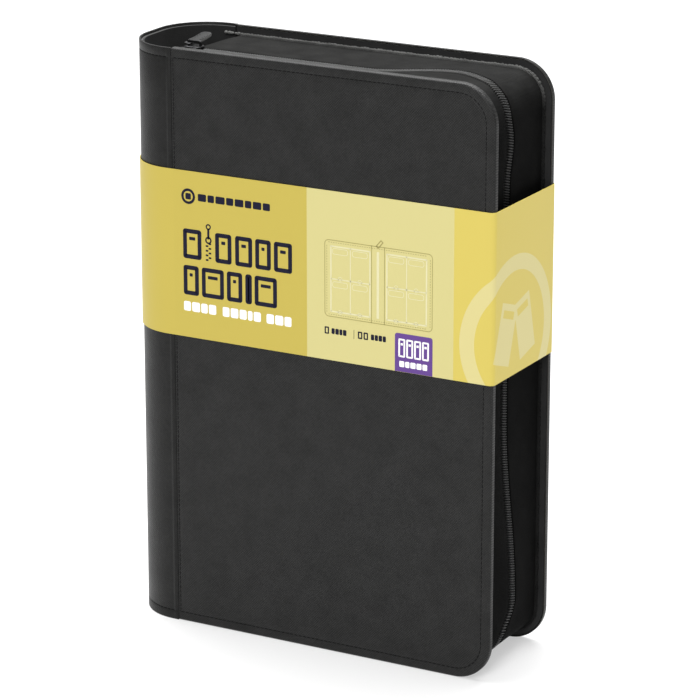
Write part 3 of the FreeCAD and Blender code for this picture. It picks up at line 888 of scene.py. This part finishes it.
def makeLink():
    low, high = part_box("pull_link")
    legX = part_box("slider_bail")[0].x + pull["legIn"]
    level = (low.z + high.z) / 2
    clearSelection()
    bpy.ops.mesh.primitive_torus_add(major_radius=pull["ringRadius"], minor_radius=pull["ringWire"],
                                     major_segments=pull["ringSteps"],
                                     minor_segments=pull["wireSteps"],
                                     location=(legX, zipLine["middle"], level))
    ring = settle("ring")
    barY = high.y - pull["barIn"]
    arm = addBlock("arm", (legX - pull["armHalf"], zipLine["middle"] + pull["armFrom"], low.z),
                   (legX + pull["armHalf"], barY, high.z))
    selectParts(arm, "EDGE", lambda a, b: abs(a.x - b.x) < near and abs(a.z - b.z) < near)
    bevelPicked(pull["armRound"], 3)
    clearSelection()
    bpy.ops.mesh.primitive_cylinder_add(vertices=pull["barSteps"], radius=pull["barRadius"],
                                        depth=pull["barLength"],
                                        location=((low.x + high.x) / 2, barY, level),
                                        rotation=(0, math.pi / 2, 0))
    bar = settle("bar")
    bevelAll(bar, pull["barEdge"], 2, 50)
    link = joinPieces([ring, arm, bar], "pullLink")
    smoothShade(link, 45)
    dress(link, blackMetal, "link", "black_metal", "pull_link")


def strapRise(y, low, high):
    share = max(0, (y - low.y - pull["bowFrom"]) / (high.y - low.y - pull["bowFrom"]))
    return pull["bowRise"] * share ** 1.5


def makeStrap():
    low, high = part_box("pull_tab")
    tab = addBlock("pullStrap", low, high)
    selectParts(tab, "EDGE", lambda a, b: min(a.y, b.y) > high.y - near and abs(a.z - b.z) > near)
    bevelPicked(pull["strapRound"], pull["strapSteps"])
    for i in range(1, 8):
        cutLevel(tab, (0, low.y + (high.y - low.y) * i / 10, 0), (0, 1, 0))
    for vertex in tab.data.vertices:
        vertex.co.z += strapRise(vertex.co.y, low, high)
    bevelAll(tab, pull["strapEdge"], 2, 50)
    smoothShade(tab, 45)
    dress(tab, strapLeather, "tab", "pull_leather", "pull_tab")
    # painted highlight: the strap's side faces take the pale edge finish
    tab.data.materials.append(strapEdge)
    for face in tab.data.polygons:
        if abs(face.normal.z) < 0.35:
            face.material_index = 1
    lying = Matrix.Rotation(math.pi / 2, 4, "Z") @ Matrix.Rotation(-math.pi / 2, 4, "X")
    spots = []
    for x in (low.x + pull["stitchIn"], high.x - pull["stitchIn"]):
        for i in range(pull["stitches"]):
            y = low.y + pull["stitchFrom"] + pull["stitchGap"] * i
            spots.append(Matrix.Translation((x, y, high.z + strapRise(y, low, high))) @ lying)
    sewn = copyTo(newStitch(), "pullStrapStitches", spots)
    dress(sewn, seamThread, "tab", "pull_leather")


makeSlider()
makeBail()
makeLink()
makeStrap()
print("slider and pull ready")


page = {
    "count": 10,
    "gutter": 4 * mm,         # between the pockets, two across and two up
    "weld": 1.3 * mm,
    "weldThick": 0.15 * mm,
    "flapIn": 8 * mm,
    "flapFront": 0.2 * mm,
    "flapBack": 0.05 * mm,
    "flapDrop": 17 * mm,
    "flapTaper": 0.8,
    "flapRound": 5 * mm,
    "flapSteps": 5,
}


def makeWeld(left, bottom, width, height):  # the welded rim round a pocket, open at its top
    rim = addBlock("rim", (left, -page["weldThick"], bottom), (left + width, 0, bottom + height))
    selectParts(rim, "FACE", lambda c, n: abs(n.y) > 0.99)
    bpy.ops.mesh.inset(thickness=page["weld"])
    bpy.ops.mesh.bridge_edge_loops()
    selectParts(rim, "FACE", lambda c, n: c.z > bottom + height - page["weld"] - near)
    bpy.ops.mesh.delete(type="FACE")
    selectParts(rim, "EDGE", lambda a, b: False)
    bpy.ops.mesh.select_non_manifold()
    bpy.ops.mesh.fill()
    leaveEdit()
    return rim


def makeFlap(left, bottom, width, height):
    flap = addBlock("flap",
                    (left + page["flapIn"], -page["flapFront"], bottom + height - page["flapDrop"]),
                    (left + width - page["flapIn"], -page["flapBack"], bottom + height))
    lowEdge = bottom + height - page["flapDrop"] + 1 * mm
    selectParts(flap, "VERT", lambda v: v.z < lowEdge)
    bpy.ops.transform.resize(value=(page["flapTaper"], 1, 1),
                             center_override=(left + width / 2, 0, bottom))
    selectParts(flap, "EDGE", lambda a, b: max(a.z, b.z) < lowEdge and abs(a.y - b.y) > near)
    bevelPicked(page["flapRound"], page["flapSteps"])
    leaveEdit()
    return flap


def makePages():
    low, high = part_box("page_01_pockets")
    width = (high.x - low.x - page["gutter"]) / 2
    height = (high.z - low.z - page["gutter"]) / 2
    rims, flaps = [], []
    for column in range(2):
        for row in range(2):
            left = low.x + column * (width + page["gutter"])
            bottom = low.z + row * (height + page["gutter"])
            rims.append(makeWeld(left, bottom, width, height))
            flaps.append(makeFlap(left, bottom, width, height))
    welds = joinPieces(rims, "weldUnit")
    flapSet = joinPieces(flaps, "flapUnit")
    for number in range(1, page["count"] + 1):
        body = "page_%02d" % number
        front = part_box(body + "_pockets")[0].y
        for unit, label, finish in ((welds, "PocketWelds", weldedFilm),
                                    (flapSet, "PocketFlaps", pocketFilm)):
            piece = unit.copy()
            piece.data = unit.data.copy()
            piece.name = "page%02d%s" % (number, label)
            piece.data.name = piece.name
            bpy.context.collection.objects.link(piece)
            piece.data.transform(Matrix.Translation((0, front, 0)))
            dress(piece, finish, body, "pocket_film")
    bpy.data.objects.remove(welds)
    bpy.data.objects.remove(flapSet)


makePages()
print("pages ready")


band = {
    "thick": 0.4 * mm,
    "corner": 3.1 * mm,
    "cornerSteps": 12,
    "low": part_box("band_front_panel")[0],
    "high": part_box("band_front_panel")[1],
    "rearHigh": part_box("band_rear_panel")[1],
    "crease": 1 * mm,         # half the folded strip at each hinge
    "warmTo": 3 * mm,         # the three printed zones, by their place across the front
    "paleTo": 94.4 * mm,
    "past": 0.15 * mm,        # the front's card runs on to just short of the rear's
    "gap": 0.03 * mm,
    "levels": 8,
    "creaseCuts": 6,
}

emblem = {
    "around": 144 * mm,
    "up": 22 * mm,
    "inner": 37 * mm,
    "outer": 46 * mm,
    "cards": ((18, -11 * mm), (-14, 13 * mm)),  # each card's lean and shift
    "cardWide": 9.5 * mm,
    "cardTall": 17 * mm,
    "labelWide": 6.5 * mm,
    "labelTall": 2.2 * mm,
    "labelUp": 11 * mm,
    "until": 37.2 * mm,
    "strength": 0.75,
    "tone": (0.66, 0.60, 0.30),
}
paperTones = {"warm": (0.52, 0.416, 0.077), "pale": (0.613, 0.554, 0.235),
              "deep": (0.626, 0.508, 0.107)}


def within(finish, value, reach):  # 1 where the value is nearer to nought than the reach
    return maths(finish, "LESS_THAN", maths(finish, "ABSOLUTE", value), reach)


def drawEmblem(finish, around, up):  # a plain ring and two tilted cards
    sideways = maths(finish, "SUBTRACT", around, emblem["around"])
    height = maths(finish, "SUBTRACT", up, emblem["up"])
    spot = addNode(finish, "ShaderNodeCombineXYZ", X=sideways, Y=height).outputs[0]
    away = addNode(finish, "ShaderNodeVectorMath", {"operation": "LENGTH"}, i0=spot).outputs["Value"]
    mark = maths(finish, "MULTIPLY", maths(finish, "GREATER_THAN", away, emblem["inner"]),
                 maths(finish, "LESS_THAN", away, emblem["outer"]))
    for lean, shift in emblem["cards"]:
        tilted = turned(finish, spot, (0, 0, lean))
        parts = addNode(finish, "ShaderNodeSeparateXYZ", Vector=tilted).outputs
        wide = maths(finish, "SUBTRACT", parts["X"], shift)
        labelUp = maths(finish, "SUBTRACT", parts["Y"], emblem["labelUp"])
        card = maths(finish, "MULTIPLY", within(finish, wide, emblem["cardWide"]),
                     within(finish, parts["Y"], emblem["cardTall"]))
        label = maths(finish, "MULTIPLY", within(finish, wide, emblem["labelWide"]),
                      within(finish, labelUp, emblem["labelTall"]))
        mark = maths(finish, "MAXIMUM", mark, maths(finish, "SUBTRACT", card, label))
    return mark


def makePaper(name, printed):  # printed zones by their distance round the band from the spine
    finish = newFinish(name, (0.8, 0.65, 0.2), 0.45, Specular_IOR_Level=0.25)
    where = place(finish)
    warm = paperTones["warm"]
    if printed:
        axes = addNode(finish, "ShaderNodeSeparateXYZ", Vector=where).outputs
        deeper = maths(finish, "SUBTRACT", axes["Y"], band["low"].y)
        around = maths(finish, "ADD", axes["X"], deeper)
        up = maths(finish, "SUBTRACT", axes["Z"], band["low"].z)
        inPale = maths(finish, "GREATER_THAN", around, band["warmTo"])
        inDeep = maths(finish, "GREATER_THAN", around, band["paleTo"])
        zones = blendTones(finish, inPale, warm, paperTones["pale"])
        zones = blendTones(finish, inDeep, zones, paperTones["deep"])
        mark = maths(finish, "MULTIPLY", drawEmblem(finish, around, up),
                     maths(finish, "LESS_THAN", axes["Y"], emblem["until"]))
        soft = maths(finish, "MULTIPLY", mark, emblem["strength"])
        tone = blendTones(finish, soft, zones, emblem["tone"])
    else:
        tone = blendTones(finish, noise(finish, where, 40 * mm), warm, tuple(c * 1.03 for c in warm))
    wire(finish, tone, "Base Color")
    relief(finish, noise(finish, where, 0.35 * mm, 3), 0.006 * mm)
    return finish


bandPaper = makePaper("bandPaper", True)
bandSpinePaper = makePaper("bandSpinePaper", False)


def addWrap(name, low, high, openSides, corner):  # card wrapped round one upright edge
    wrap = addBlock(name, low, high)
    selectParts(wrap, "EDGE", corner)
    bevelPicked(band["corner"], band["cornerSteps"])
    selectParts(wrap, "FACE", openSides)
    bpy.ops.mesh.delete(type="FACE")
    leaveEdit()
    return wrap


def finishWrap(wrap, finish, body, *nodes):
    tall = band["high"].z - band["low"].z
    for i in range(1, band["levels"]):
        cutLevel(wrap, (0, 0, band["low"].z + tall * i / band["levels"]), (0, 0, 1))
    applyModifier(wrap, "SOLIDIFY", thickness=band["thick"], offset=-1, use_even_offset=True)
    smoothShade(wrap, 30)
    dress(wrap, finish, body, "band_paper", *nodes)


def makeBand():
    low, high = band["low"], band["high"]
    seamY = high.y + band["past"]
    hinge = spineHigh.x
    front = addWrap("bandFront", (hinge + band["crease"], low.y, low.z), (high.x, seamY, high.z),
                    lambda c, n: abs(n.z) > 0.99 or n.x < -0.99 or n.y > 0.99,
                    lambda a, b: min(a.x, b.x) > high.x - near and max(a.y, b.y) < low.y + near
                    and abs(a.z - b.z) > near)
    finishWrap(front, bandPaper, "front", "band_front_panel")
    rearHigh = band["rearHigh"]
    rear = addWrap("bandRear", (hinge + band["crease"], seamY + band["gap"], low.z), rearHigh,
                   lambda c, n: abs(n.z) > 0.99 or n.x < -0.99 or n.y < -0.99,
                   lambda a, b: min(a.x, b.x) > high.x - near
                   and min(a.y, b.y) > rearHigh.y - near and abs(a.z - b.z) > near)
    finishWrap(rear, bandPaper, "rear", "band_rear_panel")
    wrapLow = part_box("band_spine_panel")[0]
    wrap = addBlock("bandSpine", wrapLow, (hinge - band["crease"], rearHigh.y, high.z))
    selectParts(wrap, "EDGE", lambda a, b: max(a.x, b.x) < wrapLow.x + near
                and abs(a.z - b.z) > near)
    bevelPicked(spine["round"] + spineLow.x - wrapLow.x, spine["steps"])
    selectParts(wrap, "FACE", lambda c, n: abs(n.z) > 0.99 or n.x > 0.99)
    bpy.ops.mesh.delete(type="FACE")
    finishWrap(wrap, bandSpinePaper, "spine", "band_spine_panel")


def makeCreases():  # the folded paper at the spine's two seams
    low, high = band["low"], band["high"]
    hinge = spineHigh.x
    for side, y, sign in (("front", low.y, -1), ("rear", band["rearHigh"].y, 1)):
        inside = y - sign * band["thick"]
        crease = addBlock("band%sCrease" % side.capitalize(),
                          (hinge - band["crease"], min(y, inside), low.z),
                          (hinge + band["crease"], max(y, inside), high.z))
        for i in range(1, band["creaseCuts"]):
            across = band["crease"] * (2 * i / band["creaseCuts"] - 1)
            cutLevel(crease, (hinge + across, 0, 0), (1, 0, 0))
        smoothShade(crease, 30)
        crease.data.materials.append(bandSpinePaper)
        ends = [(hinge - band["crease"], 0, 0), (hinge + band["crease"], 0, 0)]
        if side == "rear":
            ends.reverse()
        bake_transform(crease)


makeBand()
makeCreases()


# Plain marks printed on the band: no words, only blocks, cards and the open folio's outline.
# Their places and sizes are in millimetres across the band and up from its lower edge.
ink = {"rise": 0.05 * mm, "bottom": band["low"].z - 0.2 * mm, "face": band["low"].y, "steps": 5}


def addInk(x, z, width, height, corner=0.0, stroke=0.0):
    left, bottom = x * mm, ink["bottom"] + z * mm
    mark = addBlock("mark", (left, ink["face"] - ink["rise"], bottom),
                    (left + width * mm, ink["face"] + ink["rise"], bottom + height * mm))
    if corner:
        selectParts(mark, "EDGE", lambda a, b: abs(a.y - b.y) > near)
        bevelPicked(corner * mm, ink["steps"])
    if stroke:
        selectParts(mark, "FACE", lambda c, n: abs(n.y) > 0.99)
        bpy.ops.mesh.inset(thickness=stroke * mm)
        bpy.ops.mesh.bridge_edge_loops()
    clearSelection()
    return mark


def addRing(x, z, radius, stroke):
    return addInk(x - radius, z - radius, 2 * radius, 2 * radius, radius * 0.98, stroke)


def stamp(marks, name, finish):
    printed = joinPieces(marks, name)
    return dress(printed, finish, "front", "band_paper")


def greeked(x, z, height, widths, gap):
    marks = []
    for width in widths:
        marks.append(addInk(x, z, width, height, height * 0.18))
        x += width + gap
    return marks


headline = {
    "badge": (-73.3, 82.6, 4.5, 1.5),      # across, up, radius and stroke
    "badgeDot": (-75.1, 80.8, 3.6, 3.6, 0.6),
    "topLine": (-67, 80.6, 4.2),
    "topWidths": (5.4, 4.2, 6.0, 4.6, 5.6, 4.2, 5.4, 4.6),
    "topGap": 0.95,
    "cardHigh": 17.3,
    "cardCorner": 1.6,
    "cardStroke": 2.5,
    "rows": ((46.4, ((-77, 12), (-56, 10.6), (-43, 11), (-30, 10), (-18, 11.6))),
             (25.1, ((-77, 10), (-65, 14.4), (-48.6, 10), (-36.6, 4.2), (-30.6, 14.4)))),
    "zipRings": ((-60.4, 66.4, 1.7, 0.8), (-60.4, 58.6, 2.1, 0.9)),
    "zipPull": (-61.1, 59.2, 1.4, 6.2, 0.4),
    "zipTeeth": 8,
    "toothStart": (-62.2, 46.6),
    "toothStep": (1.9, 1.35),
    "toothSize": (1.7, 1.0, 0.2),
    "subUp": 15.6,
    "subHigh": 5.6,
    "subGap": 0.8,
    "subWords": ((-77, (4.6, 5.2, 4.2, 4.8)), (-51.5, (4.4, 5.0, 4.6, 3.0, 4.6)),
                 (-23, (4.8, 5.2, 4.4))),
}


def cardIcon(x, z, width):
    height = headline["cardHigh"]
    marks = [addInk(x, z, width, height, headline["cardCorner"], headline["cardStroke"])]
    if width > 6:  # a narrow card has no label
        marks.append(addInk(x + 4, z + height - 6.4, width - 8, 1.9, 0.4))
    return marks


def printHeadline():
    marks = [addRing(*headline["badge"]), addInk(*headline["badgeDot"])]
    marks += greeked(*headline["topLine"], headline["topWidths"], headline["topGap"])
    for z, cards in headline["rows"]:
        for x, width in cards:
            marks += cardIcon(x, z, width)
    marks += [addRing(*ring) for ring in headline["zipRings"]]
    marks.append(addInk(*headline["zipPull"]))
    startX, startZ = headline["toothStart"]
    stepX, stepZ = headline["toothStep"]
    for i in range(headline["zipTeeth"]):
        marks.append(addInk(startX + stepX * (i % 2), startZ + stepZ * i, *headline["toothSize"]))
    stamp(marks, "bandHeadline", navyInk)
    line = []
    for x, widths in headline["subWords"]:
        line += greeked(x, headline["subUp"], headline["subHigh"], widths, headline["subGap"])
    stamp(line, "bandSubline", whiteInk)


folio = {
    "left": 14.2,
    "right": 81.5,
    "low": 25.4,
    "high": 69.6,
    "corner": 2.6,
    "stroke": 0.4,
    "spineLines": (43.7, 51.8),
    "dashPitch": 1.5,
    "dashLong": 0.8,
    "dashThick": 0.3,
    "dashIn": 1.3,            # from the outline to the sewn line
    "dashFrom": 2.5,
    "pull": (47.6, 68.2, 2.2, 5.2, 0.5, 0.6),
    "pullCentre": (48.7, 70.8),
    "pullLean": 40,
    "pageLefts": (17.8, 52.8),
    "pageLow": 28.2,
    "pageWide": 25.4,
    "pageHigh": 38.2,
    "pageCorner": 0.5,
    "pageStroke": 0.9,
    "pocketAcross": 12.4,
    "pocketUp": 19,
    "flapSize": (9.8, 3.6, 1.4, 0.35),
    "dotSize": (1.3, 0.35),
    "binding": (46.9, 28.4, 1.6, 38, 0.4),
}


def foldPull():  # the little pull on the drawing leans over
    drawn = addInk(*folio["pull"])
    x, z = folio["pullCentre"]
    centre = Vector((x * mm, 0, ink["bottom"] + z * mm))
    lean = Matrix.Rotation(math.radians(folio["pullLean"]), 4, "Y")
    drawn.data.transform(Matrix.Translation(centre) @ lean @ Matrix.Translation(-centre))
    return drawn


def printOutline():
    left, right, low, high = folio["left"], folio["right"], folio["low"], folio["high"]
    pitch, long, thick = folio["dashPitch"], folio["dashLong"], folio["dashThick"]
    inset, start = folio["dashIn"], folio["dashFrom"]
    olive = [addInk(left, low, right - left, high - low, folio["corner"], folio["stroke"])]
    for x in folio["spineLines"]:
        olive.append(addInk(x - 0.2, low, folio["stroke"], high - low))
    for i in range(int((right - left - 2 * start) / pitch)):
        for z in (low + inset, high - inset - thick):
            olive.append(addInk(left + start + i * pitch, z, long, thick))
    for i in range(int((high - low - 2 * start) / pitch)):
        for x in (left + inset, right - inset - thick):
            olive.append(addInk(x, low + start + i * pitch, thick, long))
    olive.append(foldPull())
    stamp(olive, "bandFolioOutline", oliveInk)


def printPages():
    low, wide, high = folio["pageLow"], folio["pageWide"], folio["pageHigh"]
    across, up = folio["pocketAcross"], folio["pocketUp"]
    flapWide, flapHigh, flapCorner, flapStroke = folio["flapSize"]
    cream = []
    for x in folio["pageLefts"]:
        cream.append(addInk(x, low, wide, high, folio["pageCorner"], folio["pageStroke"]))
        cream.append(addInk(x + across, low + 0.4, 0.6, high - 0.8))
        cream.append(addInk(x + 0.5, low + 18.8, wide - 1, 0.7))
        for column in range(2):
            for row in range(2):
                pocketX = x + 1.3 + across * column
                top = low + 18.4 + up * row
                cream.append(addInk(pocketX, top - 4.2, flapWide, flapHigh, flapCorner, flapStroke))
                cream.append(addRing(pocketX + flapWide / 2, top - 17.9, *folio["dotSize"]))
    cream.append(addInk(*folio["binding"]))
    stamp(cream, "bandFolioPages", creamInk)


caption = {
    "cards": (14.2, 35.2, 38.8),
    "cardSize": (15.2, 2.8, 4.2, 0.5, 0.8),    # up, width, height, corner and stroke
    "wordUp": 15.6,
    "wordHigh": 3.3,
    "wordGap": 0.4,
    "words": ((18.6, (2.0, 2.2, 1.8, 2.2)), (43.4, (2.0, 2.0, 2.2, 2.0))),
    "divider": (32.6, 14.6, 0.25, 5.2),
}
tag = {
    "place": (58.4, 0.3, 23.3, 21.9),
    "corner": 1.5 * mm,
    "steps": 5,
    "slabs": 4,
    "slabStep": 4.9,
    "slab": (60.6, 8.6, 4.2, 10.6, 0.7, 1.0),
    "label": (62, 15.4, 1.4, 1.3),
    "line": (61.2, 3.0, 3.4, (3.1, 2.6, 3.2, 3.1, 2.9), 0.6),
    "proud": 0.06 * mm,
}


def printCaption():
    marks = [addInk(x, *caption["cardSize"]) for x in caption["cards"]]
    for x, widths in caption["words"]:
        marks += greeked(x, caption["wordUp"], caption["wordHigh"], widths, caption["wordGap"])
    marks.append(addInk(*caption["divider"]))
    stamp(marks, "bandCaption", navyInk)


def printTag():
    patch = addInk(*tag["place"])
    selectParts(patch, "EDGE", lambda a, b: abs(a.y - b.y) > near
                and min(a.z, b.z) > ink["bottom"] + 10 * mm)
    bevelPicked(tag["corner"], tag["steps"])
    leaveEdit()
    stamp([patch], "bandTag", violetInk)
    slabX, *slabShape = tag["slab"]
    labelX, *labelShape = tag["label"]
    marks = []
    for i in range(tag["slabs"]):
        marks.append(addInk(slabX + tag["slabStep"] * i, *slabShape))
        marks.append(addInk(labelX + tag["slabStep"] * i, *labelShape))
    marks += greeked(*tag["line"])
    for mark in marks:
        mark.data.transform(Matrix.Translation((0, -tag["proud"], 0)))
    stamp(marks, "bandTagSlabs", whiteInk)


printHeadline()
printOutline()
printPages()
printCaption()
printTag()
print("band ready")


hingeStrip = {
    "outer": 0.35 * mm,       # under the skins
    "inner": 1.4 * mm,
    "spineSide": 1 * mm,
    "coverSide": 1.4 * mm,
    "ends": 1 * mm,
    "cuts": 6,
    "bend": 0.6 * mm,         # half the stretch about the hinge line
}


def makeHinges():  # the cloth under the covers' seams
    line = spineHigh.x
    left, right = line - hingeStrip["spineSide"], line + hingeStrip["coverSide"]
    for side, y, sign in (("front", spineLow.y, -1), ("rear", spineHigh.y, 1)):
        outside = y - sign * hingeStrip["outer"]
        inside = y - sign * hingeStrip["inner"]
        strip = addBlock(side + "HingeStrip", (left, min(outside, inside), hingeStrip["ends"]),
                         (right, max(outside, inside), cover["height"] - hingeStrip["ends"]))
        for i in range(1, hingeStrip["cuts"]):
            cutLevel(strip, (left + (right - left) * i / hingeStrip["cuts"], 0, 0), (1, 0, 0))
        smoothShade(strip, 40)
        strip.data.materials.append(spineLeather)
        ends = [(line - hingeStrip["bend"], 0, 0), (line + hingeStrip["bend"], 0, 0)]
        if side == "rear":
            ends.reverse()
        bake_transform(strip)


makeHinges()

# The CAD pieces that stay as they are take a finish by the ending of their names.
keptFinishes = {
    "board": greyBoard, "lining": liningCloth, "gusset_binding": seamBinding,
    "zip_stops": blackMetal, "spine_core": coreSheet, "spine_liner": liningCloth,
    "page_binding": seamBinding, "sheet": pageSheet, "pockets": pocketFilm,
}
for nodeName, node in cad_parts.items():
    if node.hide_render:
        continue
    matches = [f for ending, f in keptFinishes.items() if nodeName.endswith(ending)]
    node.data.materials.clear()
    node.data.materials.append(matches[0])
print("kept pieces finished")


studio = {
    "yaw": 28.91,
    "pitch": 17.14,
    "distance": 2.021,
    "lens": 183.8,
    "sensor": 36,
    "target": (0.0094, 0, 0.1684),
    "floor": 14,
    "floorTone": (0.36, 0.36, 0.36),
    "floorGlow": 0.5,         # keeps the shadow under the folio faint
    "worldStrength": 0.35,
    "lampsAim": (0, 0, 0.15),
    "lamps": (("keyPanel", (0.7, -1.9, 1.6), 0.9, 30),      # name, place, size and watts
              ("topPanel", (-0.4, 0.6, 2.4), 2.6, 190)),
}


def makeStudio():
    yaw, pitch = math.radians(studio["yaw"]), math.radians(studio["pitch"])
    look = Vector((-math.sin(yaw) * math.cos(pitch), math.cos(yaw) * math.cos(pitch),
                   -math.sin(pitch)))
    clearSelection()
    bpy.ops.object.camera_add(location=Vector(studio["target"]) - look * studio["distance"],
                              rotation=look.to_track_quat("-Z", "Y").to_euler())
    camera = bpy.context.object
    camera.data.lens = studio["lens"]
    camera.data.sensor_width = studio["sensor"]
    bpy.context.scene.camera = camera

    bpy.ops.mesh.primitive_plane_add(size=studio["floor"])
    floor = settle("studioFloor")
    floorPaint = newFinish("floorPaint", studio["floorTone"], 0.9, Specular_IOR_Level=0.0,
                           Emission_Color=(1, 1, 1, 1), Emission_Strength=studio["floorGlow"])
    floor.data.materials.append(floorPaint)

    world = bpy.data.worlds.new("studioLight")
    bpy.context.scene.world = world
    world.use_nodes = True
    background = world.node_tree.nodes["Background"]
    background.inputs["Color"].default_value = (1, 1, 1, 1)
    background.inputs["Strength"].default_value = studio["worldStrength"]

    for name, spot, size, power in studio["lamps"]:
        clearSelection()
        aim = (Vector(studio["lampsAim"]) - Vector(spot)).to_track_quat("-Z", "Y").to_euler()
        bpy.ops.object.light_add(type="AREA", location=spot, rotation=aim)
        lamp = bpy.context.object
        lamp.name = name
        lamp.data.shape = "SQUARE"
        lamp.data.size = size
        lamp.data.energy = power
    bpy.context.scene.view_settings.view_transform = "Standard"


makeStudio()
clearSelection()
print("studio ready")
